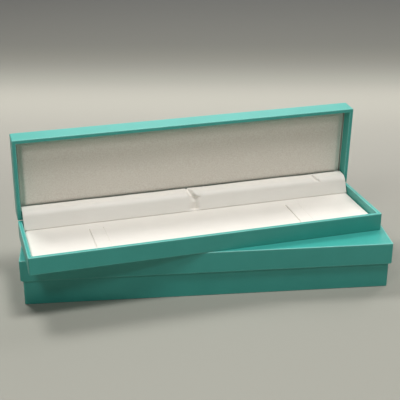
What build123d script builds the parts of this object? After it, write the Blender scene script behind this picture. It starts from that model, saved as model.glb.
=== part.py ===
"""Bracelet case, standing open on its own outer carton.

The case is a long shallow hinged box. Its base and lid are thin shells covered in
textured paper. A padded tray with two flat straps holds the bracelet, a curved flap
hides the two hinges, and the lid is lined with a thin pad. The carton is a two-piece
paper-covered box, just large enough inside for the closed case, and the case stands
on it a little askew.

Frame: millimetres, +Z up, X along the case, +Y to its hinged back. The origin is the
centre of the carton's underside.
"""

from build123d import *
import math
import os

os.makedirs("parts", exist_ok=True)

# The hinged case: outside sizes, with its finished wall of shell and paper
case_length = 225.0
case_depth = 54.3
case_base_height = 11.4
case_lid_height = 12.3
case_wall = 2.5
case_corner_radius = 0.8
case_edge_radius = 0.45
case_shell_floor = 1.5
case_paper = 0.2
case_paper_turn_in = 8.0
lid_open_angle = 86.8

# How the case stands on the carton, and how far the carton is turned under it
case_shift_x = -2.7
case_shift_y = -2.5
carton_yaw = -10.28

# The outer carton: paper over board, telescoping lid over a deeper tray
carton_height = 30.7
carton_lid_height = 14.1
carton_board = 1.0
carton_paper = 0.15
carton_corner_radius = 0.9
carton_edge_radius = 0.4
carton_hem_radius = 1.6
carton_case_gap = 0.35
carton_fit_gap = 0.2
carton_base_turn_in = 15.0
carton_lid_turn_in = 10.0
stay_tape = 0.12
stay_leg = 12.0

# The padded tray in the base
pad_recess = 4.7
pad_cover = 0.4
pad_foam_share = 0.42
pad_side_gap = 0.3
pad_edge_radius = 1.2
pad_corner_radius = 1.0
riser_card = 0.8

# The two straps across the tray
strap_from_end = 46.6
strap_width = 9.0
strap_thickness = 0.35
strap_front = 10.3
strap_back = 39.7
strap_foot = 6.0
strap_corner_radius = 0.35
slit_gap = 0.1

# The curved flap that hides the hinges
flap_setback = 6.85
flap_gap = 0.3
flap_side_gap = 0.5
flap_card = 0.3
flap_cover = 0.25
flap_front_leg = 11.25
flap_front_angle = 65.4
flap_top_leg = 8.0
flap_top_angle = 4.5
flap_bend_radius = 5.5

# The lining pad in the lid
lining_recess = 6.8
lining_cover = 0.4
lining_turn_under = 8.0
lining_board = 1.2
lining_side_gap = 0.6
lining_edge_radius = 1.0

# The two small spring hinges
hinge_from_end = 27.0
hinge_length = 16.0
hinge_middle_knuckle = 7.0
hinge_knuckle_radius = 0.9
hinge_cam_flat = 0.78
hinge_leaf = 0.5
hinge_base_leaf_height = 6.0
hinge_lid_leaf_height = 6.0
hinge_gap = 0.1
pin_radius = 0.45
pin_running_gap = 0.05
pin_head_radius = 0.7
pin_head = 0.3
spring_strip = 0.25
spring_height = 5.0
spring_gap = 0.05
spring_finger_reach = 2.4
notch_gap = 0.1
notch_side_gap = 0.3

# How far a cut runs past the face it opens
cut_overrun = 1.0

# Sizes that follow from the ones above
case_inner_length = case_length - 2 * case_wall
case_inner_depth = case_depth - 2 * case_wall
case_floor_top = case_paper + case_shell_floor
carton_wall = carton_board + 2 * carton_paper
carton_inner_length = case_length + 2 * carton_case_gap
carton_inner_depth = case_depth + 2 * carton_case_gap
carton_base_length = carton_inner_length + 2 * carton_wall
carton_base_depth = carton_inner_depth + 2 * carton_wall
carton_lid_length = carton_base_length + 2 * (carton_fit_gap + carton_wall)
carton_lid_depth = carton_base_depth + 2 * (carton_fit_gap + carton_wall)
carton_base_height = carton_height - carton_board - carton_paper

# Planes of the carton: its underside, and its top looking down
yaw = math.radians(carton_yaw)
carton_along = Vector(math.cos(yaw), math.sin(yaw), 0)
carton_underside = Plane(origin=(0, 0, 0), x_dir=carton_along, z_dir=(0, 0, 1))
carton_top = Plane(origin=(0, 0, carton_height), x_dir=carton_along, z_dir=(0, 0, -1))

# Planes of the case base, and the hinge axis along its back top edge
case_underside = Plane(origin=(case_shift_x, case_shift_y, carton_height))
hinge_axis_y = case_shift_y + case_depth / 2
hinge_axis_z = carton_height + case_base_height
hinge_axis_point = Vector(case_shift_x, hinge_axis_y, hinge_axis_z)

# Directions of the open lid: from the hinge to its front edge, and from its rim to its top
opening = math.radians(lid_open_angle)
lid_reach = Vector(0, -math.cos(opening), math.sin(opening))
lid_outward = Vector(0, math.sin(opening), math.cos(opening))
lid_outside_centre = hinge_axis_point + lid_reach * (case_depth / 2) + lid_outward * case_lid_height
lid_outside = Plane(origin=lid_outside_centre, x_dir=(1, 0, 0), z_dir=-lid_outward)


def add_block(plane, length, depth, height, corner_radius, mode=Mode.ADD):
    """Add or cut a block that stands on a plane, centred on it, with rounded corners."""
    with BuildSketch(plane) as outline:
        if corner_radius > 0:
            RectangleRounded(length, depth, corner_radius)
        else:
            Rectangle(length, depth)
    extrude(outline.sketch, amount=height, mode=mode)


def add_tray(plane, length, depth, height, floor, wall, skin, corner_radius):
    """Add a tray whose floor lies on a plane, smaller all round by the skin over it."""
    add_block(
        plane.offset(skin), length - 2 * skin, depth - 2 * skin, height - 2 * skin, corner_radius - skin
    )
    opening_inset = wall - skin
    add_block(
        plane.offset(skin + floor),
        length - 2 * opening_inset,
        depth - 2 * opening_inset,
        height,
        0,
        mode=Mode.SUBTRACT,
    )


def add_wrap(
    plane, length, depth, height, floor, wall, skin, turn_in, corner_radius, edge_radius, covered
):
    """Add the paper over a tray: under it, up its sides, over the rim and down inside."""
    upright = Axis(plane.origin, plane.z_dir)
    add_block(plane, length, depth, height, corner_radius)
    outer_faces = faces().sort_by(upright)
    fillet(outer_faces[0].edges() + outer_faces[-1].edges(), radius=edge_radius)
    opening_inset = wall - skin
    add_block(
        plane.offset(skin + floor),
        length - 2 * opening_inset,
        depth - 2 * opening_inset,
        height - turn_in - skin - floor,
        0,
        mode=Mode.SUBTRACT,
    )
    add_block(
        plane.offset(height - turn_in),
        length - 2 * wall,
        depth - 2 * wall,
        turn_in,
        0,
        mode=Mode.SUBTRACT,
    )
    rim = faces().sort_by(upright)[-1]
    fillet(rim.inner_wires()[0].edges(), radius=edge_radius)
    for piece in covered:
        add(piece, mode=Mode.SUBTRACT)


def add_corner_stays(plane, length, depth, height):
    """Add the tape folded round each upright corner, let in flush with the board."""
    corner_radius = carton_corner_radius - carton_paper
    with BuildSketch(plane) as tape:
        RectangleRounded(length, depth, corner_radius)
        RectangleRounded(
            length - 2 * stay_tape,
            depth - 2 * stay_tape,
            corner_radius - stay_tape,
            mode=Mode.SUBTRACT,
        )
        Rectangle(length - 2 * stay_leg, depth, mode=Mode.SUBTRACT)
        Rectangle(length, depth - 2 * stay_leg, mode=Mode.SUBTRACT)
    extrude(tape.sketch, amount=height)


def round_hem_corners(plane, length, depth, height, radius):
    """Round the four points where the upright corners of a skirt meet its hem."""
    for side_x in (-1, 1):
        for side_y in (-1, 1):
            to_corner = plane.x_dir * (side_x * length / 2) + plane.y_dir * (side_y * depth / 2)
            corner = plane.origin + to_corner + plane.z_dir * height
            outward = (plane.x_dir * side_x + plane.y_dir * side_y).normalized()
            section = Plane(origin=corner, x_dir=outward, z_dir=outward.cross(plane.z_dir))
            with BuildSketch(section) as waste:
                with Locations((-radius / 2, -radius / 2)):
                    Rectangle(radius, radius)
                with Locations((-radius, -radius)):
                    Circle(radius, mode=Mode.SUBTRACT)
            extrude(waste.sketch, amount=2 * radius, both=True, mode=Mode.SUBTRACT)


# Carton base: the scored and folded board, taped at its corners and wrapped in paper
carton_base_board_length = carton_base_length - 2 * carton_paper
carton_base_board_depth = carton_base_depth - 2 * carton_paper

with BuildPart() as carton_base_corner_stays:
    add_corner_stays(
        carton_underside.offset(carton_paper),
        carton_base_board_length,
        carton_base_board_depth,
        carton_base_height - 2 * carton_paper,
    )
carton_base_corner_stays.part.label = "carton_base_corner_stays"
export_step(carton_base_corner_stays.part, "parts/carton_base_corner_stays.step")

with BuildPart() as carton_base_board:
    add_tray(
        carton_underside,
        carton_base_length,
        carton_base_depth,
        carton_base_height,
        carton_board,
        carton_wall,
        carton_paper,
        carton_corner_radius,
    )
    add(carton_base_corner_stays.part, mode=Mode.SUBTRACT)
carton_base_board.part.label = "carton_base_board"
export_step(carton_base_board.part, "parts/carton_base_board.step")

with BuildPart() as carton_base_wrap:
    add_wrap(
        carton_underside,
        carton_base_length,
        carton_base_depth,
        carton_base_height,
        carton_board,
        carton_wall,
        carton_paper,
        carton_base_turn_in,
        carton_corner_radius,
        carton_edge_radius,
        [carton_base_board.part, carton_base_corner_stays.part],
    )
carton_base_wrap.part.label = "carton_base_wrap"
export_step(carton_base_wrap.part, "parts/carton_base_wrap.step")

# Carton lid: a shallow tray turned over, its skirt sliding down over the base
carton_lid_board_length = carton_lid_length - 2 * carton_paper
carton_lid_board_depth = carton_lid_depth - 2 * carton_paper
carton_lid_board_height = carton_lid_height - 2 * carton_paper

with BuildPart() as carton_lid_corner_stays:
    add_corner_stays(
        carton_top.offset(carton_paper),
        carton_lid_board_length,
        carton_lid_board_depth,
        carton_lid_board_height,
    )
    round_hem_corners(
        carton_top.offset(carton_paper),
        carton_lid_board_length,
        carton_lid_board_depth,
        carton_lid_board_height,
        carton_hem_radius - carton_paper,
    )
carton_lid_corner_stays.part.label = "carton_lid_corner_stays"
export_step(carton_lid_corner_stays.part, "parts/carton_lid_corner_stays.step")

with BuildPart() as carton_lid_board:
    add_tray(
        carton_top,
        carton_lid_length,
        carton_lid_depth,
        carton_lid_height,
        carton_board,
        carton_wall,
        carton_paper,
        carton_corner_radius,
    )
    round_hem_corners(
        carton_top.offset(carton_paper),
        carton_lid_board_length,
        carton_lid_board_depth,
        carton_lid_board_height,
        carton_hem_radius - carton_paper,
    )
    add(carton_lid_corner_stays.part, mode=Mode.SUBTRACT)
carton_lid_board.part.label = "carton_lid_board"
export_step(carton_lid_board.part, "parts/carton_lid_board.step")

with BuildPart() as carton_lid_wrap:
    add_wrap(
        carton_top,
        carton_lid_length,
        carton_lid_depth,
        carton_lid_height,
        carton_board,
        carton_wall,
        carton_paper,
        carton_lid_turn_in,
        carton_corner_radius,
        carton_edge_radius,
        [carton_lid_board.part, carton_lid_corner_stays.part],
    )
    round_hem_corners(
        carton_top, carton_lid_length, carton_lid_depth, carton_lid_height, carton_hem_radius
    )
carton_lid_wrap.part.label = "carton_lid_wrap"
export_step(carton_lid_wrap.part, "parts/carton_lid_wrap.step")

# Hinge places and the notches that let the knuckles sit in the back walls
hinge_offset = case_length / 2 - hinge_from_end
notch_length = hinge_length + 2 * (pin_head + hinge_gap + notch_side_gap)
spring_finger_top = hinge_knuckle_radius + spring_gap
base_notch_depth = spring_finger_top + spring_strip + notch_gap
lid_notch_depth = hinge_knuckle_radius + notch_gap


def cut_hinge_notches(plane, rim_height, notch_depth, hinge_side):
    """Cut the two notches in the rim of the hinged wall, right through it."""
    wall_centre = hinge_side * (case_depth - case_wall) / 2
    with BuildSketch(plane.offset(rim_height - notch_depth)) as notches:
        with Locations((-hinge_offset, wall_centre), (hinge_offset, wall_centre)):
            Rectangle(notch_length, case_wall + 2 * cut_overrun)
    extrude(notches.sketch, amount=notch_depth + cut_overrun, mode=Mode.SUBTRACT)


# Case base: the moulded shell and its textured paper
with BuildPart() as case_base_shell:
    add_tray(
        case_underside,
        case_length,
        case_depth,
        case_base_height,
        case_shell_floor,
        case_wall,
        case_paper,
        case_corner_radius,
    )
    cut_hinge_notches(case_underside, case_base_height, base_notch_depth, 1)
case_base_shell.part.label = "case_base_shell"
export_step(case_base_shell.part, "parts/case_base_shell.step")

with BuildPart() as case_base_wrap:
    add_wrap(
        case_underside,
        case_length,
        case_depth,
        case_base_height,
        case_shell_floor,
        case_wall,
        case_paper,
        case_paper_turn_in,
        case_corner_radius,
        case_edge_radius,
        [case_base_shell.part],
    )
    cut_hinge_notches(case_underside, case_base_height, base_notch_depth, 1)
case_base_wrap.part.label = "case_base_wrap"
export_step(case_base_wrap.part, "parts/case_base_wrap.step")

# Case lid: built from its outer panel towards its rim, with the hinge at its other side
with BuildPart() as case_lid_shell:
    add_tray(
        lid_outside,
        case_length,
        case_depth,
        case_lid_height,
        case_shell_floor,
        case_wall,
        case_paper,
        case_corner_radius,
    )
    cut_hinge_notches(lid_outside, case_lid_height, lid_notch_depth, -1)
case_lid_shell.part.label = "case_lid_shell"
export_step(case_lid_shell.part, "parts/case_lid_shell.step")

with BuildPart() as case_lid_wrap:
    add_wrap(
        lid_outside,
        case_length,
        case_depth,
        case_lid_height,
        case_shell_floor,
        case_wall,
        case_paper,
        case_paper_turn_in,
        case_corner_radius,
        case_edge_radius,
        [case_lid_shell.part],
    )
    cut_hinge_notches(lid_outside, case_lid_height, lid_notch_depth, -1)
case_lid_wrap.part.label = "case_lid_wrap"
export_step(case_lid_wrap.part, "parts/case_lid_wrap.step")

# Padded tray: a folded card riser, a foam sheet and the cover drawn down over both
pad_front = case_wall + pad_side_gap
pad_back = case_depth - case_wall - hinge_leaf - spring_strip - pad_side_gap
pad_length = case_inner_length - 2 * pad_side_gap
pad_depth = pad_back - pad_front
pad_centre_y = case_shift_y + (pad_front + pad_back - case_depth) / 2
pad_top = case_base_height - pad_recess
pad_height = pad_top - case_floor_top
pad_floor = Plane(origin=(case_shift_x, pad_centre_y, carton_height + case_floor_top))
pad_foam = pad_foam_share * pad_height
riser_height = pad_height - pad_cover - pad_foam
riser_length = pad_length - 2 * pad_cover
riser_depth = pad_depth - 2 * pad_cover

# Places along the tray where each strap goes down through its slits
strap_offset = case_length / 2 - strap_from_end
strap_front_y = strap_front - case_depth / 2 + case_shift_y - pad_centre_y
strap_back_y = strap_back - case_depth / 2 + case_shift_y - pad_centre_y


def cut_strap_slits():
    """Cut the four slits that the strap ends go through."""
    with BuildSketch(pad_floor) as slits:
        for strap_x in (-strap_offset, strap_offset):
            with Locations(
                (strap_x, strap_front_y + strap_thickness / 2),
                (strap_x, strap_back_y - strap_thickness / 2),
            ):
                Rectangle(strap_width + 2 * slit_gap, strap_thickness + 2 * slit_gap)
    extrude(slits.sketch, amount=pad_height + cut_overrun, mode=Mode.SUBTRACT)


with BuildPart() as base_pad_riser:
    add_block(pad_floor, riser_length, riser_depth, riser_height, pad_corner_radius - pad_cover)
    add_block(
        pad_floor,
        riser_length,
        riser_depth - 2 * riser_card,
        riser_height - riser_card,
        0,
        mode=Mode.SUBTRACT,
    )
    cut_strap_slits()
base_pad_riser.part.label = "base_pad_riser"
export_step(base_pad_riser.part, "parts/base_pad_riser.step")

with BuildPart() as base_pad_foam:
    add_block(
        pad_floor.offset(riser_height),
        riser_length,
        riser_depth,
        pad_foam,
        pad_corner_radius - pad_cover,
    )
    fillet(
        base_pad_foam.faces().sort_by(Axis.Z)[-1].edges(), radius=pad_edge_radius - pad_cover
    )
    cut_strap_slits()
base_pad_foam.part.label = "base_pad_foam"
export_step(base_pad_foam.part, "parts/base_pad_foam.step")

with BuildPart() as base_pad_cover:
    add_block(pad_floor, pad_length, pad_depth, pad_height, pad_corner_radius)
    fillet(base_pad_cover.faces().sort_by(Axis.Z)[-1].edges(), radius=pad_edge_radius)
    add_block(
        pad_floor,
        riser_length,
        riser_depth,
        riser_height,
        pad_corner_radius - pad_cover,
        mode=Mode.SUBTRACT,
    )
    cut_strap_slits()
    add(base_pad_foam.part, mode=Mode.SUBTRACT)
base_pad_cover.part.label = "base_pad_cover"
export_step(base_pad_cover.part, "parts/base_pad_cover.step")

# Straps: flat bands over the tray, their ends through the slits and under the riser
strap_top_height = pad_height + strap_thickness
strap_foot_height = riser_height - riser_card - strap_thickness


def add_strap(centre_x):
    """Add one strap: a band bent down at both ends, with its feet turned inwards."""
    section = Plane(
        origin=(case_shift_x + centre_x - strap_width / 2, pad_floor.origin.Y, pad_floor.origin.Z),
        x_dir=(0, 1, 0),
        z_dir=(1, 0, 0),
    )
    with BuildSketch(section) as band:
        with Locations(((strap_front_y + strap_back_y) / 2, (strap_top_height + strap_foot_height) / 2)):
            RectangleRounded(
                strap_back_y - strap_front_y, strap_top_height - strap_foot_height, strap_corner_radius
            )
            Rectangle(
                strap_back_y - strap_front_y - 2 * strap_thickness,
                strap_top_height - strap_foot_height - 2 * strap_thickness,
                mode=Mode.SUBTRACT,
            )
        with Locations(((strap_front_y + strap_back_y) / 2, strap_foot_height + strap_thickness / 2)):
            Rectangle(
                strap_back_y - strap_front_y - 2 * strap_foot,
                strap_thickness,
                mode=Mode.SUBTRACT,
            )
    extrude(band.sketch, amount=strap_width)


with BuildPart() as bracelet_strap_left:
    add_strap(-strap_offset)
bracelet_strap_left.part.label = "bracelet_strap_left"
export_step(bracelet_strap_left.part, "parts/bracelet_strap_left.step")

with BuildPart() as bracelet_strap_right:
    add_strap(strap_offset)
bracelet_strap_right.part.label = "bracelet_strap_right"
export_step(bracelet_strap_right.part, "parts/bracelet_strap_right.step")

# Rear flap: card folded inside a soft cover. Its rounded foot lies along the crease that it
# folds about, and it leans back from there over the hinges
flap_length = case_inner_length - 2 * flap_side_gap
flap_thickness = flap_card + 2 * flap_cover
flap_section = Plane(
    origin=(
        case_shift_x - flap_length / 2,
        hinge_axis_y - flap_setback,
        carton_height + pad_top + flap_gap + flap_thickness / 2,
    ),
    x_dir=(0, 1, 0),
    z_dir=(1, 0, 0),
)
flap_front_direction = Vector(1, 0).rotate(Axis.Z, flap_front_angle)
flap_top_direction = Vector(1, 0).rotate(Axis.Z, flap_top_angle)


def add_flap_strip(depth_from_front, thickness, tip_trim, mode=Mode.ADD):
    """Add a strip that runs up the front of the flap, round its bend and back along its top."""
    inward = Vector(flap_front_direction.Y, -flap_front_direction.X)
    start = inward * (depth_from_front - flap_thickness / 2)
    turn = math.radians(flap_front_angle - flap_top_angle)
    leg_trim = depth_from_front * math.tan(turn / 2)
    bend = start + flap_front_direction * (flap_front_leg - leg_trim)
    tip = bend + flap_top_direction * (flap_top_leg - leg_trim - tip_trim)
    with BuildSketch(flap_section) as strip:
        with BuildLine():
            spine = FilletPolyline(start, bend, tip, radius=flap_bend_radius - depth_from_front)
            offset(spine, amount=thickness, side=Side.RIGHT)
        make_face()
    extrude(strip.sketch, amount=flap_length, mode=mode)


with BuildPart() as rear_flap_card:
    add_flap_strip(flap_cover, flap_card, flap_cover)
rear_flap_card.part.label = "rear_flap_card"
export_step(rear_flap_card.part, "parts/rear_flap_card.step")

with BuildPart() as rear_flap_cover:
    add_flap_strip(0, flap_thickness, 0)
    with BuildSketch(flap_section) as foot:
        Circle(flap_thickness / 2)
    extrude(foot.sketch, amount=flap_length)
    add(rear_flap_card.part, mode=Mode.SUBTRACT)
rear_flap_cover.part.label = "rear_flap_cover"
export_step(rear_flap_cover.part, "parts/rear_flap_cover.step")

# Lid lining: a board and a foam sheet in a cover, glued to the inside of the lid
lining_length = case_inner_length - 2 * lining_side_gap
lining_depth = case_inner_depth - 2 * lining_side_gap
lining_height = case_lid_height - case_floor_top - lining_recess
lining_floor = lid_outside.offset(case_floor_top)
lining_core_length = lining_length - 2 * lining_cover
lining_core_depth = lining_depth - 2 * lining_cover
lining_foam = lining_height - lining_board - 2 * lining_cover
lining_up = Axis(lining_floor.origin, lining_floor.z_dir)

with BuildPart() as lid_pad_board:
    add_block(
        lining_floor.offset(lining_cover), lining_core_length, lining_core_depth, lining_board, 0
    )
lid_pad_board.part.label = "lid_pad_board"
export_step(lid_pad_board.part, "parts/lid_pad_board.step")

with BuildPart() as lid_pad_foam:
    add_block(
        lining_floor.offset(lining_cover + lining_board),
        lining_core_length,
        lining_core_depth,
        lining_foam,
        0,
    )
    fillet(
        lid_pad_foam.faces().sort_by(lining_up)[-1].edges(), radius=lining_edge_radius - lining_cover
    )
lid_pad_foam.part.label = "lid_pad_foam"
export_step(lid_pad_foam.part, "parts/lid_pad_foam.step")

with BuildPart() as lid_pad_cover:
    add_block(lining_floor, lining_length, lining_depth, lining_height, lining_cover)
    fillet(lid_pad_cover.faces().sort_by(lining_up)[-1].edges(), radius=lining_edge_radius)
    add_block(
        lining_floor,
        lining_core_length - 2 * lining_turn_under,
        lining_core_depth - 2 * lining_turn_under,
        lining_cover,
        0,
        mode=Mode.SUBTRACT,
    )
    add(lid_pad_board.part, mode=Mode.SUBTRACT)
    add(lid_pad_foam.part, mode=Mode.SUBTRACT)
lid_pad_cover.part.label = "lid_pad_cover"
export_step(lid_pad_cover.part, "parts/lid_pad_cover.step")

# Hinges: two leaves, a pin through their knuckles and a spring strip under the outer ones
outer_knuckle = (hinge_length - hinge_middle_knuckle) / 2 - hinge_gap
leaf_inner_face = case_wall + hinge_leaf
leaf_shoulder = spring_finger_top + spring_strip + spring_gap


def hinge_section(start_x, direction):
    """Give the section plane at one end of a knuckle, in the frame of the base or the lid."""
    return Plane(
        origin=(case_shift_x + start_x, hinge_axis_y, hinge_axis_z), x_dir=direction, z_dir=(1, 0, 0)
    )


def add_bar(section, length, left, right, bottom, top, mode=Mode.ADD):
    """Add a bar whose section is given by its four sides, along the hinge."""
    with BuildSketch(section) as bar:
        with Locations(((left + right) / 2, (bottom + top) / 2)):
            Rectangle(right - left, top - bottom)
    extrude(bar.sketch, amount=length, mode=mode)


def add_round(section, length, radius, mode=Mode.ADD):
    """Add or cut a cylinder along the hinge axis."""
    with BuildSketch(section) as disc:
        Circle(radius)
    extrude(disc.sketch, amount=length, mode=mode)


def add_base_leaf(centre_x):
    """Add the leaf on the base's back wall, with the middle knuckle."""
    upright = (0, 1, 0)
    leaf_end = hinge_section(centre_x - hinge_length / 2, upright)
    knuckle_end = hinge_section(centre_x - hinge_middle_knuckle / 2, upright)
    add_bar(
        leaf_end, hinge_length, -leaf_inner_face, -case_wall, -hinge_base_leaf_height, -leaf_shoulder
    )
    arm_top = hinge_leaf - hinge_knuckle_radius
    add_bar(
        knuckle_end, hinge_middle_knuckle, -leaf_inner_face, -case_wall, -leaf_shoulder, arm_top
    )
    add_bar(
        knuckle_end, hinge_middle_knuckle, -leaf_inner_face, 0, -hinge_knuckle_radius, arm_top
    )
    add_round(knuckle_end, hinge_middle_knuckle, hinge_knuckle_radius)
    add_round(knuckle_end, hinge_middle_knuckle, pin_radius, mode=Mode.SUBTRACT)


def add_lid_leaf(centre_x):
    """Add the leaf on the lid's back wall, with an outer knuckle at each end.

    Each outer knuckle has two flats for the spring finger: one faces it when the lid is
    closed and the other when the lid is open.
    """
    inward = -lid_reach
    leaf_end = hinge_section(centre_x - hinge_length / 2, inward)
    far_knuckle_end = hinge_section(centre_x + hinge_length / 2 - outer_knuckle, inward)
    arm_bottom = hinge_knuckle_radius - hinge_leaf
    cam_side = hinge_knuckle_radius + hinge_cam_flat
    cam_shift = (hinge_knuckle_radius - hinge_cam_flat) / 2
    add_bar(
        leaf_end, hinge_length, -leaf_inner_face, -case_wall, arm_bottom, hinge_lid_leaf_height
    )
    for knuckle_end in (leaf_end, far_knuckle_end):
        add_bar(
            knuckle_end, outer_knuckle, -leaf_inner_face, 0, arm_bottom, hinge_knuckle_radius
        )
        with BuildSketch(knuckle_end) as cam:
            Circle(hinge_knuckle_radius)
            with Locations((-cam_shift, cam_shift)):
                Rectangle(cam_side, cam_side, mode=Mode.INTERSECT)
        extrude(cam.sketch, amount=outer_knuckle)
        add_round(knuckle_end, outer_knuckle, pin_radius + pin_running_gap, mode=Mode.SUBTRACT)


def add_pin(centre_x):
    """Add the pin, with a flat head beyond each outer knuckle."""
    along = (0, 1, 0)
    shank = hinge_length + 2 * hinge_gap
    head_end = hinge_section(centre_x - shank / 2 - pin_head, along)
    far_head_end = hinge_section(centre_x + shank / 2, along)
    add_round(head_end, shank + 2 * pin_head, pin_radius)
    add_round(head_end, pin_head, pin_head_radius)
    add_round(far_head_end, pin_head, pin_head_radius)


def add_spring(centre_x):
    """Add the spring strip on the base leaf, with a finger under each outer knuckle."""
    along = (0, 1, 0)
    strip_end = hinge_section(centre_x - hinge_length / 2, along)
    far_finger_end = hinge_section(centre_x + hinge_length / 2 - outer_knuckle, along)
    strip_back = -leaf_inner_face
    strip_front = strip_back - spring_strip
    finger_tip = strip_back + spring_finger_reach
    finger_top = -spring_finger_top
    add_bar(strip_end, hinge_length, strip_front, strip_back, -spring_height, -leaf_shoulder)
    for finger_end in (strip_end, far_finger_end):
        add_bar(
            finger_end, outer_knuckle, strip_front, strip_back, -leaf_shoulder, finger_top
        )
        add_bar(
            finger_end, outer_knuckle, strip_back, finger_tip, finger_top - spring_strip, finger_top
        )


with BuildPart() as hinge_base_leaf_left:
    add_base_leaf(-hinge_offset)
hinge_base_leaf_left.part.label = "hinge_base_leaf_left"
export_step(hinge_base_leaf_left.part, "parts/hinge_base_leaf_left.step")

with BuildPart() as hinge_base_leaf_right:
    add_base_leaf(hinge_offset)
hinge_base_leaf_right.part.label = "hinge_base_leaf_right"
export_step(hinge_base_leaf_right.part, "parts/hinge_base_leaf_right.step")

with BuildPart() as hinge_lid_leaf_left:
    add_lid_leaf(-hinge_offset)
hinge_lid_leaf_left.part.label = "hinge_lid_leaf_left"
export_step(hinge_lid_leaf_left.part, "parts/hinge_lid_leaf_left.step")

with BuildPart() as hinge_lid_leaf_right:
    add_lid_leaf(hinge_offset)
hinge_lid_leaf_right.part.label = "hinge_lid_leaf_right"
export_step(hinge_lid_leaf_right.part, "parts/hinge_lid_leaf_right.step")

with BuildPart() as hinge_pin_left:
    add_pin(-hinge_offset)
hinge_pin_left.part.label = "hinge_pin_left"
export_step(hinge_pin_left.part, "parts/hinge_pin_left.step")

with BuildPart() as hinge_pin_right:
    add_pin(hinge_offset)
hinge_pin_right.part.label = "hinge_pin_right"
export_step(hinge_pin_right.part, "parts/hinge_pin_right.step")

with BuildPart() as hinge_spring_left:
    add_spring(-hinge_offset)
hinge_spring_left.part.label = "hinge_spring_left"
export_step(hinge_spring_left.part, "parts/hinge_spring_left.step")

with BuildPart() as hinge_spring_right:
    add_spring(hinge_offset)
hinge_spring_right.part.label = "hinge_spring_right"
export_step(hinge_spring_right.part, "parts/hinge_spring_right.step")
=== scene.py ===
"""Bracelet case on its outer carton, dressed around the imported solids.

New shapes are worked out in millimetres, in the frame of the solids, and put into their
meshes in metres. The sections follow the set as it is put together: carton, case, hinges,
tray, straps, flap and lid lining. The camera comes first, and the studio last.
"""

import math

import bmesh
import bpy
import numpy as np
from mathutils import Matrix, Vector


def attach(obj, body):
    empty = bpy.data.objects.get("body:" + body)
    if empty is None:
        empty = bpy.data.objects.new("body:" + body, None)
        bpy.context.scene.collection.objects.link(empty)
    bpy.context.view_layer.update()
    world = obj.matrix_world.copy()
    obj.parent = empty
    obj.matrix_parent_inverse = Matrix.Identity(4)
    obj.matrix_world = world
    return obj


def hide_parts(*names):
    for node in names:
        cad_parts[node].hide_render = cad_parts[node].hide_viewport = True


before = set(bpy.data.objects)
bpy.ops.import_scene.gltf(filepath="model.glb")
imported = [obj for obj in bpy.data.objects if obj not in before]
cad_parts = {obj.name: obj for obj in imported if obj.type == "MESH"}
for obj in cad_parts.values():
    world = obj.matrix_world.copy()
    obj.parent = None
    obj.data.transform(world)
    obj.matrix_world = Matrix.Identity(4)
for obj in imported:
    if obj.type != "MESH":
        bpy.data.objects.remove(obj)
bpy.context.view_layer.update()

# Camera: it stands in front of the boxes, a little to their left, and looks down over the
# open lid. Its place, tilt and lens were worked out from the boxes' straight edges.
camera_place = (-0.1536, -0.5172, 0.2883)
camera_down = math.radians(23.6)
camera_turn = math.radians(16.24)

camera_data = bpy.data.cameras.new("camera")
camera_data.lens = 83.7
camera_data.sensor_width = 36
camera_data.clip_start = 0.01
camera = bpy.data.objects.new("camera", camera_data)
camera.location = camera_place
camera.rotation_euler = (math.radians(90) - camera_down, 0, -camera_turn)
bpy.context.scene.collection.objects.link(camera)
bpy.context.scene.camera = camera


# Carton boards: two trays folded from greyboard, a stiff sheet of recycled paper pulp. It is
# matte and flecked with darker fibres.
def linear(code):
    """Turn an sRGB hex colour into linear red, green, blue and alpha.

    Each channel follows the sRGB curve: a straight line at its dark end, and above it a power
    of 2.4.
    """
    channel = np.array([int(code[start : start + 2], 16) for start in (1, 3, 5)]) / 255
    value = np.where(channel > 0.04045, ((channel + 0.055) / 1.055) ** 2.4, channel / 12.92)
    return (*value, 1.0)


def add_node(tree, kind, inputs, **settings):
    """Add a node. An input given as a socket is linked, and any other value is set on it."""
    made = tree.nodes.new("ShaderNode" + kind)
    for name, value in settings.items():
        setattr(made, name, value)
    for name, value in inputs.items():
        if isinstance(value, bpy.types.NodeSocket):
            tree.links.new(value, made.inputs[name])
        else:
            made.inputs[name].default_value = value
    return made


def start_finish(name):
    """Start a material, and give it with its node tree and the coordinates on the piece."""
    finish = bpy.data.materials.new(name)
    finish.use_nodes = True
    finish.node_tree.nodes.clear()
    place = add_node(finish.node_tree, "TexCoord", {}).outputs["Object"]
    return finish, finish.node_tree, place


def end_finish(tree, colour, raised, **shader):
    """Close a material with its shader, whose further sockets are named by their own words."""
    inputs = {word.replace("_", " "): value for word, value in shader.items()}
    inputs.update({"Base Color": colour, "Normal": raised.outputs["Normal"]})
    skin = add_node(tree, "BsdfPrincipled", inputs)
    add_node(tree, "OutputMaterial", {"Surface": skin.outputs["BSDF"]})


def dress(names, finish):
    """Give a finish to solids that keep their own shape."""
    for name in names:
        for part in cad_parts[name].material_slots:
            part.material = finish


# The flecks are about 1.1 mm across, and stand 0.04 mm proud.
fleck_scale = 900.0
fleck_relief = 0.00004
greyboard, tree, place = start_finish("pressed_greyboard")
flecks = add_node(
    tree, "TexNoise", {"Vector": place, "Scale": fleck_scale, "Detail": 6.0}
).outputs["Fac"]
raised = add_node(tree, "Bump", {"Height": flecks, "Distance": fleck_relief})
# A Mix node's share is its input 0, its colours are its inputs 6 and 7, and its output is 2.
colour = add_node(
    tree, "Mix", {0: flecks, 6: linear("#64625C"), 7: linear("#B8B4A9")}, data_type="RGBA"
)
end_finish(tree, colour.outputs[2], raised, Roughness=0.95)
dress(["carton_base_board", "carton_lid_board"], greyboard)

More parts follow.
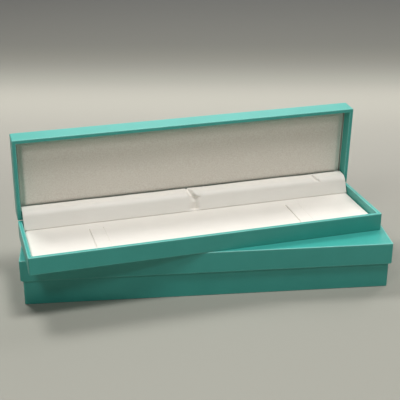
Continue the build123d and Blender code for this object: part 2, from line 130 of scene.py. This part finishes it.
# Corner stays: gummed kraft tape folded round each upright corner to hold it together. The
# brown paper is smooth and shows its fibres.
# Clumps of fibres are about 0.7 mm across, and stand 0.02 mm proud.
kraft_scale = 1500.0
kraft_relief = 0.00002
kraft_tape, tree, place = start_finish("gummed_kraft_tape")
fibres = add_node(
    tree, "TexNoise", {"Vector": place, "Scale": kraft_scale, "Detail": 4.0}
).outputs["Fac"]
raised = add_node(tree, "Bump", {"Height": fibres, "Distance": kraft_relief})
colour = add_node(
    tree, "Mix", {0: fibres, 6: linear("#94764D"), 7: linear("#D2B488")}, data_type="RGBA"
)
end_finish(tree, colour.outputs[2], raised, Roughness=0.7)
dress(["carton_base_corner_stays", "carton_lid_corner_stays"], kraft_tape)

# Wraps of the carton and the case: turquoise covering paper, dyed through and embossed with a
# pebble grain, glued over the boards and turned in over their rims. It has a soft satin sheen,
# and its tone drifts a little. Its upper edges and corners are painted paler: partly rubbed by
# handling, and partly a painted highlight where light catches them.
paper_shade_size = 0.015
# The real grain is about 0.25 mm across, and the real edges are rubbed about 0.3 mm wide. They
# are drawn at 0.6 mm and 0.9 mm, so that they show at all. The 0.9 mm edge band is partly a
# painted highlight.
paper_grain = 0.0006
paper_relief = 0.00003
paper_worn_highlit_edge = 0.0009

turquoise_paper, tree, place = start_finish("turquoise_embossed_paper")
shade = add_node(tree, "TexNoise", {"Vector": place, "Scale": 1 / paper_shade_size}).outputs["Fac"]
dyed = add_node(
    tree, "Mix", {0: shade, 6: linear("#3DA499"), 7: linear("#44AEA3")}, data_type="RGBA"
)
pebbles = add_node(
    tree, "TexVoronoi", {"Vector": place, "Scale": 1 / paper_grain}, feature="SMOOTH_F1"
).outputs["Distance"]
raised = add_node(
    tree, "Bump", {"Height": pebbles, "Distance": paper_relief, "Strength": 0.6}, invert=True
)
# Near an edge, the normal of a rounded surface turns away from the plain one. The paler edge,
# rubbing and painted highlight together, starts where their dot product falls to 0.995 and is
# full at 0.88. Near a lower edge the rounded normal turns down; that edge lies in shade, so
# there the paper keeps its plain colour.
rounded = add_node(tree, "Bevel", {"Radius": paper_worn_highlit_edge}, samples=8).outputs["Normal"]
plain = add_node(tree, "NewGeometry", {}).outputs["Normal"]
likeness = add_node(tree, "VectorMath", {0: rounded, 1: plain}, operation="DOT_PRODUCT")
near_edge = add_node(
    tree, "MapRange", {"Value": likeness.outputs["Value"], "From Min": 0.995, "From Max": 0.88}
)
on_piece = add_node(
    tree,
    "VectorTransform",
    {"Vector": rounded},
    vector_type="NORMAL",
    convert_from="WORLD",
    convert_to="OBJECT",
)
rise = add_node(tree, "SeparateXYZ", {"Vector": on_piece.outputs["Vector"]}).outputs["Z"]
upper = add_node(tree, "MapRange", {"Value": rise, "From Min": -0.1, "From Max": 0.0})
# Mask of the paler edges: rubbing, and a painted highlight on the upper edges only.
wear_and_highlight_mask = add_node(
    tree,
    "Math",
    {0: near_edge.outputs["Result"], 1: upper.outputs["Result"]},
    operation="MULTIPLY",
)
# The paler edge colour: part wear, part painted highlight.
rubbed_and_highlit = add_node(
    tree,
    "Mix",
    {0: wear_and_highlight_mask.outputs["Value"], 6: dyed.outputs[2], 7: linear("#8ED7CD")},
    data_type="RGBA",
)
end_finish(tree, rubbed_and_highlit.outputs[2], raised, Roughness=0.38)
dress(["carton_base_wrap", "carton_lid_wrap", "case_base_wrap", "case_lid_wrap"], turquoise_paper)

# Case shells: two shallow trays moulded in white polystyrene, all but hidden by their paper.
# Where it shows, the moulded surface has a faint orange peel.
# The dimples of the orange peel are about 0.8 mm across and 0.01 mm deep.
peel_scale = 1200.0
peel_relief = 0.00001
white_polystyrene, tree, place = start_finish("moulded_white_polystyrene")
peel = add_node(
    tree, "TexNoise", {"Vector": place, "Scale": peel_scale, "Detail": 1.0}
).outputs["Fac"]
raised = add_node(tree, "Bump", {"Height": peel, "Distance": peel_relief})
colour = add_node(
    tree, "Mix", {0: peel, 6: linear("#D6D4CD"), 7: linear("#EBE9E2")}, data_type="RGBA"
)
end_finish(tree, colour.outputs[2], raised, Roughness=0.4, IOR=1.59)
dress(["case_base_shell", "case_lid_shell"], white_polystyrene)

# Hinges: two small spring hinges behind the flap. Leaves and pins are nickel-plated steel
# strip and wire, polished in a barrel, which leaves a soft shine with fine scuffs.
# The scuffs are about 0.4 mm across and 0.004 mm deep.
scuff_scale = 2500.0
scuff_relief = 0.000004
plated_steel, tree, place = start_finish("barrel_polished_nickel_plate")
scuffs = add_node(
    tree, "TexNoise", {"Vector": place, "Scale": scuff_scale, "Detail": 3.0}
).outputs["Fac"]
raised = add_node(tree, "Bump", {"Height": scuffs, "Distance": scuff_relief})
colour = add_node(
    tree, "Mix", {0: scuffs, 6: linear("#B9B2A4"), 7: linear("#D6D0C4")}, data_type="RGBA"
)
end_finish(tree, colour.outputs[2], raised, Roughness=0.3, Metallic=1.0)
plated_parts = ("base_leaf", "lid_leaf", "pin")
dress([f"hinge_{part}_{side}" for part in plated_parts for side in ("left", "right")], plated_steel)

# Hinge springs: a strip of rolled spring steel beside each base leaf. The rolling marks run
# along it, so the pattern is drawn out along X.
# The marks are about 17 mm long, 0.3 mm wide and 0.005 mm deep.
rolling_scale = (60.0, 3000.0, 3000.0)
rolling_relief = 0.000005
spring_steel, tree, place = start_finish("rolled_spring_steel")
drawn_out = add_node(tree, "Mapping", {"Vector": place, "Scale": rolling_scale})
rolling = add_node(
    tree, "TexNoise", {"Vector": drawn_out.outputs["Vector"], "Scale": 1.0}
).outputs["Fac"]
raised = add_node(tree, "Bump", {"Height": rolling, "Distance": rolling_relief})
colour = add_node(
    tree, "Mix", {0: rolling, 6: linear("#85837D"), 7: linear("#ACAAA2")}, data_type="RGBA"
)
end_finish(tree, colour.outputs[2], raised, Roughness=0.4, Metallic=1.0)
dress(["hinge_spring_left", "hinge_spring_right"], spring_steel)

# Riser and lining board: white-lined card, creased and folded. The riser lifts the tray to
# its height, and the board stiffens the lid's lining.
# Clumps of fibres are about 0.7 mm across, and stand 0.02 mm proud.
card_scale = 1400.0
card_relief = 0.00002
white_card, tree, place = start_finish("white_lined_card")
fibres = add_node(
    tree, "TexNoise", {"Vector": place, "Scale": card_scale, "Detail": 5.0}
).outputs["Fac"]
raised = add_node(tree, "Bump", {"Height": fibres, "Distance": card_relief})
colour = add_node(
    tree, "Mix", {0: fibres, 6: linear("#CBC8BF"), 7: linear("#EAE7DF")}, data_type="RGBA"
)
end_finish(tree, colour.outputs[2], raised, Roughness=0.85)
dress(["base_pad_riser", "lid_pad_board"], white_card)

# Tray pad: a thin sheet of foam with white leathercloth drawn over it and down round the
# folded card riser. It is a little fuller in the middle than at its rolled edges, its sides
# pull in between the corners, and it is drawn down into the slits that hold the straps.
case_middle_x = -2.7
pad_middle_y = -2.875
pad_floor = 32.4
pad_height = 5.0
pad_half_length = 109.7
pad_half_depth = 23.975
pad_edge = 1.2
pad_skin = 0.4
riser_height = 2.5
pad_pull_in = 0.35
pad_crown = 0.15
pad_wave_height = 0.12
pad_wave_spacing = 42.0
strap_places = (-68.3, 63.5)
strap_half_width = 4.2
strap_half_thickness = 0.175
strap_front = -19.35
strap_back = 10.05
strap_bed = 0.1
strap_bed_edge = 0.5
slit_trough = 1.1
slit_dip = 0.16
flap_crease = (17.8, 38.1)
flap_ridge = 0.22
grid_samples = 4001
corner_steps = 8
merge_distance = 0.000002


def gentle_waves(across, along, spacing, height, seed):
    """Give a soft uneven height: the mean of five sine waves, each about one spacing long and
    running in its own drawn direction."""
    draw = np.random.default_rng(seed)
    turns, phases = draw.uniform(0, 2 * np.pi, (2, 5))
    lengths = spacing * draw.uniform(0.7, 1.6, 5)
    runs = across[..., None] * np.cos(turns) + along[..., None] * np.sin(turns)
    return height * np.sin(runs * 2 * np.pi / lengths + phases).mean(axis=-1)


def smooth_step(value, low, high):
    """Rise from 0 at low to 1 at high, level at both ends: 3 t squared less 2 t cubed."""
    share = np.clip((value - low) / (high - low), 0, 1)
    return share * share * (3 - 2 * share)


def bell(value, width):
    """Fall away from 1 on both sides of 0: e to the power of less (value / width) squared."""
    return np.exp(-((value / width) ** 2))


def grid_lines(low, high, wide, narrow, spots, reach):
    """Space lines widely from low to high, and narrowly near the spots.

    The number of lines per millimetre is 1 / wide, and rises to 1 / narrow in a bell of the
    given reach round each spot. Lines lie where the running sum of that passes whole steps.
    """
    fine = np.linspace(low, high, grid_samples)
    near = bell(fine[:, None] - np.array(spots), reach).max(axis=1)
    density = 1 / wide + (1 / narrow - 1 / wide) * near
    running = np.append(0, np.cumsum((density[1:] + density[:-1]) / 2) * (fine[1] - fine[0]))
    return np.interp(np.linspace(0, running[-1], math.ceil(running[-1]) + 1), running, fine)


def padded_block(x, y, top, profile, underside):
    """Work out a pad drawn over a block, as the grids of its top, its sides and its underside.

    The top is the grid of the lines x and y, raised by the function top. The sides carry a
    profile round the top's border: each step says how far it stands out from the border,
    and its height. Where it stands out, it fans round the corners, and where it stands in,
    it is held to a smaller rectangle. The underside is the flat grid at its own height.
    """
    across, along = np.meshgrid(y, x, indexing="ij")
    upper = np.stack([along, across, top(along, across)], axis=2)
    # The border runs round once. At each corner it waits while it turns a right angle.
    turns = np.linspace(0, 90, corner_steps + 1)
    sides = [
        (x, y[0] + 0 * x, -90.0),
        (x[-1] + 0 * y, y, 0.0),
        (x[::-1], y[-1] + 0 * x, 90.0),
        (x[0] + 0 * y, y[::-1], 180.0),
    ]
    border_x = np.concatenate([np.append(a, a[-1] + 0 * turns) for a, b, heading in sides])
    border_y = np.concatenate([np.append(b, b[-1] + 0 * turns) for a, b, heading in sides])
    angle = np.radians(np.concatenate([np.append(0 * a, turns) + c for a, b, c in sides]))
    rings = [np.stack([border_x, border_y, top(border_x, border_y)], axis=1)]
    for out, height in profile:
        held = max(-out, 0)
        ring_x = np.clip(border_x, x[0] + held, x[-1] - held) + max(out, 0) * np.cos(angle)
        ring_y = np.clip(border_y, y[0] + held, y[-1] - held) + max(out, 0) * np.sin(angle)
        rings.append(np.stack([ring_x, ring_y, np.full(ring_x.size, height)], axis=1))
    lower = np.stack([along, across, np.full(along.shape, underside)], axis=2)
    return [upper, np.stack(rings), lower]


def rounded_edge(radius, top_height):
    """Give a profile's quarter circle, from the border of the top out and down: sine times the
    radius out, and the radius less cosine times the radius down."""
    angle = np.radians(np.linspace(0, 90, corner_steps + 1))[1:]
    return list(zip(radius * np.sin(angle), top_height - radius * (1 - np.cos(angle))))


def make_piece(name, grids, finish, body, replaced):
    """Join grids of points, in millimetres, into one closed mesh that rides on a body."""
    points, faces, first = [], [], 0
    for grid in grids:
        rows, columns = grid.shape[:2]
        row, column = np.meshgrid(np.arange(rows - 1), np.arange(columns - 1), indexing="ij")
        corner = (first + row * columns + column).ravel()
        faces.append(np.stack([corner, corner + 1, corner + columns + 1, corner + columns], axis=1))
        points.append(grid.reshape(-1, 3) / 1000)
        first += rows * columns
    mesh = bpy.data.meshes.new(name)
    mesh.from_pydata(np.concatenate(points).tolist(), [], np.concatenate(faces).tolist())
    shape = bmesh.new()
    shape.from_mesh(mesh)
    bmesh.ops.remove_doubles(shape, verts=shape.verts, dist=merge_distance)
    bmesh.ops.recalc_face_normals(shape, faces=shape.faces)
    shape.to_mesh(mesh)
    shape.free()
    mesh.shade_smooth()
    mesh.materials.append(finish)
    piece = bpy.data.objects.new(name, mesh)
    bpy.context.scene.collection.objects.link(piece)
    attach(piece, body)
    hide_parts(*replaced)
    return piece


def tray_height(x, y):
    """Height of the tray's top over the pad's floor: its full height, and a crown with slow
    waves that are nothing at the border, less a trough along each slit and a dip round it.

    Under a strap it is pressed down, most along the strap's edges. Along the flap's foot the
    cover is drawn up into a low ridge.
    """
    share_x = np.abs(x) / (pad_half_length - pad_edge)
    share_y = np.abs(y) / (pad_half_depth - pad_edge)
    fullness = (1 - share_x**8) * (1 - share_y**2)
    waves = gentle_waves(x, y, pad_wave_spacing, pad_wave_height, seed=4)
    height = pad_height + fullness * (pad_crown + waves)
    foot_ends = 1 - smooth_step(np.abs(x), pad_half_length - 2.5, pad_half_length - pad_edge)
    height = height + flap_ridge * foot_ends * bell(y + pad_middle_y - flap_crease[0], 0.8)
    for strap_x in strap_places:
        beyond = np.abs(x + case_middle_x - strap_x) - strap_half_width
        between = smooth_step(y + pad_middle_y, strap_front, strap_front + 2)
        between = between * (1 - smooth_step(y + pad_middle_y, strap_back - 2, strap_back))
        height = height - strap_bed * between * (1 - smooth_step(beyond, -0.6, 0.2))
        height = height - strap_bed_edge * between * bell(beyond - 0.1, 0.4)
        for slit in (strap_front + strap_half_thickness, strap_back - strap_half_thickness):
            distance = y + pad_middle_y - slit
            trough = (1 - smooth_step(beyond, 0, 0.9)) * bell(distance, 0.45)
            dip = (1 - smooth_step(beyond, 0, 6)) * bell(distance, 2.5)
            height = height - slit_trough * trough - slit_dip * dip
    return height


# The tone drifts over about 17 mm.
leather_tone_scale = 60.0
# The real grain is about 0.2 mm across. It is drawn at 0.5 mm, so that it shows at all.
leather_grain = 0.0005
leather_relief = 0.00003
white_leathercloth, tree, place = start_finish("white_embossed_leathercloth")
tone = add_node(
    tree, "TexNoise", {"Vector": place, "Scale": leather_tone_scale, "Detail": 3.0}
).outputs["Fac"]
grain = add_node(
    tree, "TexVoronoi", {"Vector": place, "Scale": 1 / leather_grain}, feature="SMOOTH_F1"
).outputs["Distance"]
raised = add_node(
    tree, "Bump", {"Height": grain, "Distance": leather_relief, "Strength": 0.5}, invert=True
)
colour = add_node(
    tree, "Mix", {0: tone, 6: linear("#ECE6DD"), 7: linear("#F3EDE5")}, data_type="RGBA"
)
end_finish(tree, colour.outputs[2], raised, Roughness=0.55)

# The grid is fine at the straps' edges, at the slits and at the flap's foot.
beside_strap = strap_half_width + 0.3
slits_x = [
    strap_x + side - case_middle_x
    for strap_x in strap_places
    for side in (-beside_strap, beside_strap)
]
slits_y = [strap_front - pad_middle_y, strap_back - pad_middle_y, flap_crease[0] - pad_middle_y]
pad_end = pad_half_length - pad_edge
pad_side = pad_half_depth - pad_edge
pad_x = grid_lines(-pad_end, pad_end, wide=2.0, narrow=0.35, spots=slits_x, reach=2.5)
pad_y = grid_lines(-pad_side, pad_side, wide=1.4, narrow=0.15, spots=slits_y, reach=1.2)
pad_profile = rounded_edge(pad_edge, pad_height) + [
    (pad_edge, riser_height),
    (pad_edge, 0),
    (pad_edge - pad_skin, 0),
    (pad_edge - pad_skin, riser_height),
    (0, riser_height),
]
pad_grids = padded_block(pad_x, pad_y, tray_height, pad_profile, riser_height)
for grid in pad_grids:
    # Over the riser the sides pull in between the corners, most at the middle of each.
    upper_share = smooth_step(grid[..., 2], riser_height, pad_height - pad_edge)
    bow_x = upper_share * (1 - (grid[..., 1] / pad_half_depth) ** 2)
    bow_y = upper_share * (1 - (grid[..., 0] / pad_half_length) ** 2)
    grid[..., 0] *= 1 - bow_x * pad_pull_in / pad_half_length
    grid[..., 1] *= 1 - bow_y * pad_pull_in / pad_half_depth
    grid += (case_middle_x, pad_middle_y, pad_floor)
tray_pad = make_piece(
    "tray_pad",
    pad_grids,
    white_leathercloth,
    "case_base",
    ["base_pad_cover", "base_pad_foam"],
)

# Straps: two flat bands of the same leathercloth, glued double. They lie across the tray,
# go down through its slits, and their ends are turned inwards under the riser.
strap_foot_height = 1.525
strap_foot = 6.0
strap_bend = 0.55
strap_clearance = 0.06
strap_deepest = -0.1
strap_lines = 19
arc_steps = 24


def border_lines(lines, half_thickness):
    """Put the lines next to both ends where they draw a half circle, so an edge is round."""
    near = half_thickness * (1 - np.cos(np.radians([0, 25, 50, 70, 90])))
    kept = np.minimum(lines - lines[0], lines[-1] - lines) > 2 * half_thickness
    return np.concatenate([lines[0] + near, lines[kept], (lines[-1] - near)[::-1]])


def rounded_path(corners, radius, step, half_thickness):
    """Carry a line through the corners, and give the run to points along it and the points.

    Each inner corner is an arc of the radius. It leaves and joins the straight legs where
    they are the radius times the tangent of half the turn from the corner.
    """
    points = [corners[0]]
    for before, corner, after in zip(corners, corners[1:], corners[2:]):
        leg_in = (corner - before) / np.linalg.norm(corner - before)
        leg_out = (after - corner) / np.linalg.norm(after - corner)
        turn = math.acos(leg_in @ leg_out)
        start = corner - leg_in * radius * math.tan(turn / 2)
        inward = (leg_out - leg_in * math.cos(turn)) / math.sin(turn)
        angle = np.linspace(0, turn, arc_steps + 1)[:, None]
        points.extend(start + radius * (np.sin(angle) * leg_in + (1 - np.cos(angle)) * inward))
    points = np.array([*points, corners[-1]])
    corner_run = np.append(0, np.cumsum(np.linalg.norm(np.diff(points, axis=0), axis=1)))
    even = np.linspace(0, corner_run[-1], math.ceil(corner_run[-1] / step) + 1)
    run = border_lines(even, half_thickness)
    return run, np.stack([np.interp(run, corner_run, column) for column in points.T], axis=1)


def band_faces(across, run, path, half_thickness, lift):
    """Work out a thin band that follows a path of depths and heights, as its two faces.

    A face stands half the thickness off the path, along its normal. Within half a thickness
    of a border it closes in as a half circle, so that both faces meet there. The lift moves
    both together along the normal.
    """
    tangent = np.gradient(path, run, axis=0)
    tangent /= np.linalg.norm(tangent, axis=1)[:, None]
    to_end = np.minimum(run, run[-1] - run)[:, None]
    to_side = np.minimum(across - across[0], across[-1] - across)
    closing = np.clip(1 - np.minimum(to_end, to_side) / half_thickness, 0, 1)
    half = half_thickness * np.sqrt(1 - closing**2)
    faces = []
    for side in (1, -1):
        off = lift + side * half
        depth = path[:, :1] - off * tangent[:, 1:]
        height = path[:, 1:] + off * tangent[:, :1]
        faces.append(np.stack([np.broadcast_to(across, depth.shape), depth, height], axis=2))
    return faces


strap_legs = (strap_front + strap_half_thickness, strap_back - strap_half_thickness)
strap_top = pad_height + strap_half_thickness
strap_corners = np.array(
    [
        [strap_front + strap_foot, strap_foot_height],
        [strap_legs[0], strap_foot_height],
        [strap_legs[0], strap_top],
        [strap_legs[1], strap_top],
        [strap_legs[1], strap_foot_height],
        [strap_back - strap_foot, strap_foot_height],
    ]
)
strap_run, strap_path = rounded_path(
    strap_corners, strap_bend, step=0.12, half_thickness=strap_half_thickness
)
strap_across = border_lines(
    np.linspace(-strap_half_width, strap_half_width, strap_lines), strap_half_thickness
)
for side, strap_x in zip(("left", "right"), strap_places):
    # The band lies on the pad's own fullness, just clear of it, and dips with it at its ends.
    under_x = np.full(strap_run.size, strap_x - case_middle_x)
    fullness = tray_height(under_x, strap_path[:, 0] - pad_middle_y) - pad_height
    settling = np.clip(fullness + strap_clearance, strap_deepest, None)
    settling = settling * smooth_step(strap_path[:, 1], strap_top - 1.5, strap_top - 0.1)
    settled = strap_path.copy()
    settled[:, 1] += pad_floor + settling
    make_piece(
        f"bracelet_band_{side}",
        band_faces(strap_across + strap_x, strap_run, settled, strap_half_thickness, lift=0),
        white_leathercloth,
        "case_base",
        [f"bracelet_strap_{side}"],
    )

# Rear flap: a strip of thin card covered in soft white leathercloth. It stands up behind the
# tray, bends back over the hinges and folds forward along its foot as the lid closes. It has
# been pinched once at the middle and once near the right end, and both pinches stayed.
flap_half_thickness = 0.4
flap_half_length = 109.5
flap_front_leg = 11.25
flap_front_angle = math.radians(65.4)
flap_top_leg = 7.85
flap_top_angle = math.radians(4.5)
flap_bend = 5.5
# The pinches are marked by how far they are from the case's left end and up the flap.
case_left_end = -115.2
pinch_across = (117.1, 116.35, 114.8, 113.4, 112.2)
pinch_along = (7.7, 8.9, 11.1, 14.6, 17.7)
small_pinch_across = (203.5, 201.3, 200.1)
small_pinch_along = (9.5, 11.6, 15.9)
lip_height = 0.9
valley_depth = 2.0
dent_across = 114.7
dent_depth = 3.0
small_ridge = 0.9
small_furrow = 0.5


def flap_lift(across, along):
    """How far the flap stands out of its plain curve.

    The middle pinch is a slanting fold. The flap sinks into a valley, which fades out at its
    left, and rises over a wall to a lip at the pinch's line. The wall and the valley are wide
    at the bend and narrow towards the rear edge, and the lip fades further right. Under the
    bend a dent runs down the front, steeper on its right and deepest near the foot. The small
    pinch is a narrow ridge with a furrow on its left. Slow waves run over it all.
    """
    from_line = across - np.interp(along, pinch_along, pinch_across)
    reach = np.interp(along, (8, 12), (2.5, 8.0))
    wall = np.interp(along, (8, 18), (2.6, 0.8))
    lip = smooth_step(from_line, -wall, 0.3) * (1 - smooth_step(from_line, 0.4, reach))
    lip = lip * smooth_step(along, 8.0, 9.0) * (1 - smooth_step(along, 14, 18.8))
    from_valley = from_line + wall
    valley = bell(from_valley, np.where(from_valley < 0, 1.0, 0.55) * wall)
    valley = valley * smooth_step(along, 5.0, 9.0)
    valley = valley * (1 - 0.75 * smooth_step(along, 10.5, 18.5))
    from_dent = across - dent_across
    dent = bell(from_dent, np.where(from_dent < 0, 3.0, 1.8)) * smooth_step(along, -0.6, 1.2)
    dent = dent * np.interp(along, (0.8, 7.8, 9.8), (1, 0.3, 0))
    from_small = across - np.interp(along, small_pinch_along, small_pinch_across)
    small = small_ridge * bell(from_small, 0.6) - small_furrow * bell(from_small + 1.4, 0.9)
    small = small * smooth_step(along, 8.5, 11) * (1 - smooth_step(along, 14, 17.5))
    waves = gentle_waves(across, along, spacing=38.0, height=0.22, seed=9)
    waves = waves + gentle_waves(across, along, spacing=7.0, height=0.06, seed=5)
    waves = waves * smooth_step(along, 1, 9)
    return lip_height * lip - valley_depth * valley - dent_depth * dent + small + waves


front_direction = np.array([math.cos(flap_front_angle), math.sin(flap_front_angle)])
top_direction = np.array([math.cos(flap_top_angle), math.sin(flap_top_angle)])
leg_trim = flap_half_thickness * math.tan((flap_front_angle - flap_top_angle) / 2)
flap_corner = flap_crease + front_direction * (flap_front_leg - leg_trim)
flap_corners = np.array(
    [
        flap_crease - front_direction * flap_half_thickness,
        flap_corner,
        flap_corner + top_direction * (flap_top_leg - leg_trim),
    ]
)
flap_run, flap_path = rounded_path(
    flap_corners,
    flap_bend - flap_half_thickness,
    step=0.25,
    half_thickness=flap_half_thickness,
)
# The grid is fine at both pinches.
pinches_x = [
    pinch_x + case_left_end - case_middle_x for pinch_x in (pinch_across[1], small_pinch_across[1])
]
flap_lines = grid_lines(
    -flap_half_length, flap_half_length, wide=1.6, narrow=0.2, spots=pinches_x, reach=5.0
)
flap_across = case_middle_x + border_lines(flap_lines, flap_half_thickness)
lift = flap_lift(
    *np.broadcast_arrays(flap_across - case_left_end, flap_run[:, None] - flap_half_thickness)
)
hinge_flap = make_piece(
    "hinge_flap",
    band_faces(flap_across, flap_run, flap_path, flap_half_thickness, lift),
    white_leathercloth,
    "rear_flap",
    ["rear_flap_cover", "rear_flap_card"],
)

# Lid lining: a board with thin foam on it, covered in pale suede cloth that is turned under
# and glued, and stuck to the inside of the lid. The short nap is mottled and has a faint
# sheen along its edge.
lid_open = math.radians(86.8)
lid_reach = np.array([0, -math.cos(lid_open), math.sin(lid_open)])
lid_outward = np.array([0, math.sin(lid_open), math.cos(lid_open)])
hinge_point = np.array([case_middle_x, 24.65, 42.1])
lid_half_depth = 27.15
lid_depth = 12.3
lining_floor = 1.7
lining_height = 3.8
lining_half_length = 109.4
lining_half_depth = 24.05
lining_edge = 1.0
lining_sink = 1.3
lining_sink_width = 1.8
lining_crown = 0.12
lining_wave_height = 0.12
lining_wave_spacing = 55.0
lining_skin = 0.4
lining_board = 1.2
lining_turn_under = 8.0


def lining_top(x, y):
    """Height of the lining over its floor: its full height, and a low crown with slow waves
    that are nothing at the border, where the foam is drawn down."""
    to_end = lining_half_length - lining_edge - np.abs(x)
    to_border = np.minimum(to_end, lining_half_depth - lining_edge - np.abs(y))
    share_x = np.abs(x) / (lining_half_length - lining_edge)
    share_y = np.abs(y) / (lining_half_depth - lining_edge)
    fullness = (1 - share_x**8) * (1 - share_y**2)
    waves = gentle_waves(x, y, lining_wave_spacing, lining_wave_height, seed=2)
    crown = fullness * (lining_crown + waves)
    return lining_height + crown - lining_sink * bell(to_border, lining_sink_width)


# The real nap is finer than 0.1 mm. Its mottling is drawn at 0.8 mm, so that it shows at all.
nap_mottle = 0.0008
nap_relief = 0.00005
cream_suede, tree, place = start_finish("cream_suede_cloth")
mottle = add_node(
    tree, "TexNoise", {"Vector": place, "Scale": 1 / nap_mottle, "Detail": 3.0}
).outputs["Fac"]
raised = add_node(tree, "Bump", {"Height": mottle, "Distance": nap_relief})
colour = add_node(
    tree, "Mix", {0: mottle, 6: linear("#E0D4C7"), 7: linear("#FFFAF0")}, data_type="RGBA"
)
end_finish(
    tree, colour.outputs[2], raised, Roughness=0.9, Sheen_Weight=0.25, Sheen_Roughness=0.5
)

lining_end = lining_half_length - lining_edge
lining_side = lining_half_depth - lining_edge
lining_profile = rounded_edge(lining_edge, lining_height - lining_sink) + [
    (lining_edge, lining_skin),
    (lining_edge, 0),
    (lining_edge - lining_turn_under, 0),
    (lining_edge - lining_turn_under, lining_skin),
    (lining_edge - lining_skin, lining_skin),
    (lining_edge - lining_skin, lining_skin + lining_board),
    (0, lining_skin + lining_board),
]
ends = [-lining_end, lining_end]
sides = [-lining_side, lining_side]
lining_grids = padded_block(
    grid_lines(-lining_end, lining_end, wide=2.2, narrow=0.4, spots=ends, reach=3.0),
    grid_lines(-lining_side, lining_side, wide=1.8, narrow=0.4, spots=sides, reach=3.0),
    lining_top,
    lining_profile,
    lining_skin + lining_board,
)
lining_origin = hinge_point + lid_reach * lid_half_depth + lid_outward * (lid_depth - lining_floor)
lining_turn = np.array([[1, 0, 0], lid_reach, -lid_outward])
lid_lining = make_piece(
    "lid_lining",
    [grid @ lining_turn + lining_origin for grid in lining_grids],
    cream_suede,
    "case_lid",
    ["lid_pad_cover", "lid_pad_foam"],
)

# Studio floor: the set stands on a broad sheet of pale warm grey background paper. It is
# matte. Its colour holds painted light and shade: paler in a band behind the set, as a painted
# pool of light, and darker grey beyond the band, as painted falloff.
floor_half = 8.0
# The painted tones lie along the direction the camera faces, at these distances in metres.
floor_painted_light_tones = {
    -0.3: "#A09F95",
    0.0: "#9E9D93",
    0.12: "#9F9C93",
    0.2: "#A7A49B",
    0.3: "#B2AFA5",
    0.38: "#C3C0B4",
    0.44: "#ACAAA0",
    0.52: "#87867D",
    0.61: "#787770",
    0.9: "#70706D",
}
tones_near = min(floor_painted_light_tones)
tones_far = max(floor_painted_light_tones)
# Clumps of fibres are about 1.1 mm across, and stand 0.01 mm proud.
backdrop_scale = 900.0
backdrop_relief = 0.00001
painted_light_floor_paper, tree, place = start_finish("studio_paper_with_painted_light")
turned = add_node(tree, "VectorRotate", {"Vector": place, "Angle": camera_turn})
depth = add_node(tree, "SeparateXYZ", {"Vector": turned.outputs["Vector"]}).outputs["Y"]
share = add_node(tree, "MapRange", {"Value": depth, "From Min": tones_near, "From Max": tones_far})
# This ramp paints the pool of light and the darker falloff onto the floor.
ramp = add_node(tree, "ValToRGB", {"Fac": share.outputs["Result"]})
ramp.color_ramp.interpolation = "B_SPLINE"
for _ in range(len(floor_painted_light_tones) - 2):
    ramp.color_ramp.elements.new(0.5)
for stop, (distance, code) in zip(ramp.color_ramp.elements, floor_painted_light_tones.items()):
    stop.position = (distance - tones_near) / (tones_far - tones_near)
    stop.color = linear(code)
fibres = add_node(
    tree, "TexNoise", {"Vector": place, "Scale": backdrop_scale, "Detail": 4.0}
).outputs["Fac"]
raised = add_node(tree, "Bump", {"Height": fibres, "Distance": backdrop_relief})
end_finish(tree, ramp.outputs["Color"], raised, Roughness=0.9)
floor_mesh = bpy.data.meshes.new("studio_floor")
floor_corners = [
    (-floor_half, -floor_half, 0),
    (floor_half, -floor_half, 0),
    (floor_half, floor_half, 0),
    (-floor_half, floor_half, 0),
]
floor_mesh.from_pydata(floor_corners, [], [(0, 1, 2, 3)])
floor_mesh.materials.append(painted_light_floor_paper)
floor = bpy.data.objects.new("studio_floor", floor_mesh)
bpy.context.scene.collection.objects.link(floor)


# Lamps: a soft lamp hangs over the set and another high behind its left end. Weaker ones stand
# front left and at the right, a broad low one at the back gives the tops their sheen, and a
# dim room lights the rest.
def add_softbox(name, place, size, watts):
    """Hang a square soft lamp at a place in metres, aimed at the middle of the set."""
    lamp = bpy.data.lights.new(name, "AREA")
    lamp.size = size
    lamp.energy = watts
    softbox = bpy.data.objects.new(name, lamp)
    softbox.location = place
    softbox.rotation_euler = Vector(place).to_track_quat("Z", "Y").to_euler()
    bpy.context.scene.collection.objects.link(softbox)


add_softbox("overhead_softbox", (0.2, -0.3, 1.2), 0.3, 9.05)
add_softbox("front_softbox", (-0.36, -0.44, 0.6), 0.14, 1.0)
add_softbox("key_softbox", (-0.312, 0.497, 1.046), 0.35, 6.9)
add_softbox("right_softbox", (0.85, 0.45, 0.75), 0.4, 3.0)
add_softbox("back_softbox", (0.45, 1.5, 0.95), 0.8, 3.2)

# The room lights the set dimly, and shows as a pale backdrop to the camera and in the gloss.
room_light = 0.03
room = bpy.data.worlds.new("studio_room")
room.use_nodes = True
tree = room.node_tree
tree.nodes.clear()
rays = add_node(tree, "LightPath", {}).outputs
seen = add_node(
    tree, "Math", {0: rays["Is Camera Ray"], 1: rays["Is Glossy Ray"]}, operation="MAXIMUM"
)
seen = add_node(
    tree, "Math", {0: seen.outputs[0], 1: rays["Is Transmission Ray"]}, operation="MAXIMUM"
)
lighting = add_node(tree, "Background", {"Color": linear("#F2F1EC"), "Strength": room_light})
showing = add_node(tree, "Background", {"Color": linear("#B5B4A9"), "Strength": 1.0})
mixed = add_node(
    tree, "MixShader", {0: seen.outputs[0], 1: lighting.outputs[0], 2: showing.outputs[0]}
)
add_node(tree, "OutputWorld", {"Surface": mixed.outputs[0]})
bpy.context.scene.world = room
bpy.context.scene.view_settings.view_transform = "Standard"
